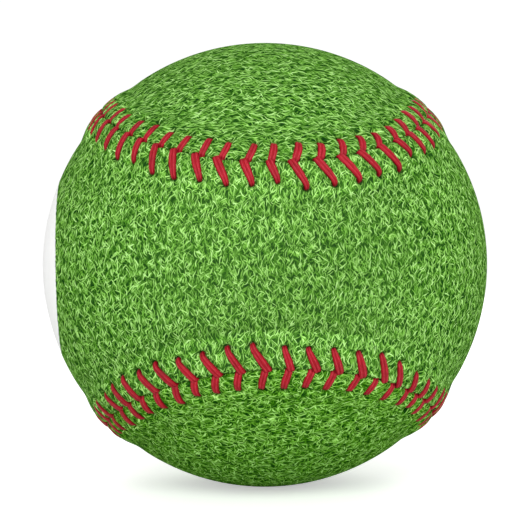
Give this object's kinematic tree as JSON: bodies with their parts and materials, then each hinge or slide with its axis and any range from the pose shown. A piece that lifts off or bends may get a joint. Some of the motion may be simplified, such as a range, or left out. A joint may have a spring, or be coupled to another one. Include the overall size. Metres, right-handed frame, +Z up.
{
  "type": "baseball",
  "caption": "Round stitched leather ball: two figure-eight panels joined by red herringbone thread over a wound core, cover printed with a grass pattern.",
  "frame": {"origin": "centre of the ball", "axes": "+Z up; the narrow waist of the front cover panel faces -Y and its lobes wrap to +X and -X; the waist of the back panel faces +Y and its lobes are the top and the bottom"},
  "size_m": [0.0738, 0.0738, 0.0738],
  "materials": {
    "cork": "granular pressed cork",
    "black_rubber": "matte moulded",
    "red_rubber": "matte moulded",
    "grey_wool": "wound yarn",
    "white_wool": "wound yarn",
    "white_cotton": "fine wound thread",
    "latex": "dried latex film",
    "printed_leather": "semi-matte printed leather with a fine grain",
    "red_thread": "waxed thread"
  },
  "bodies": {
    "root": {"cork_centre": "cork", "inner_rubber_shell_upper": "black_rubber", "inner_rubber_shell_lower": "black_rubber", "shell_gasket": "red_rubber", "outer_rubber_shell": "red_rubber", "winding_1_grey_wool": "grey_wool", "winding_2_white_wool": "white_wool", "winding_3_grey_wool": "grey_wool", "winding_4_cotton": "white_cotton", "adhesive_coat": "latex", "cover_panel_front": "printed_leather", "cover_panel_back": "printed_leather", "seam_thread_1": "red_thread", "seam_thread_2": "red_thread"}
  },
  "joints": []
}
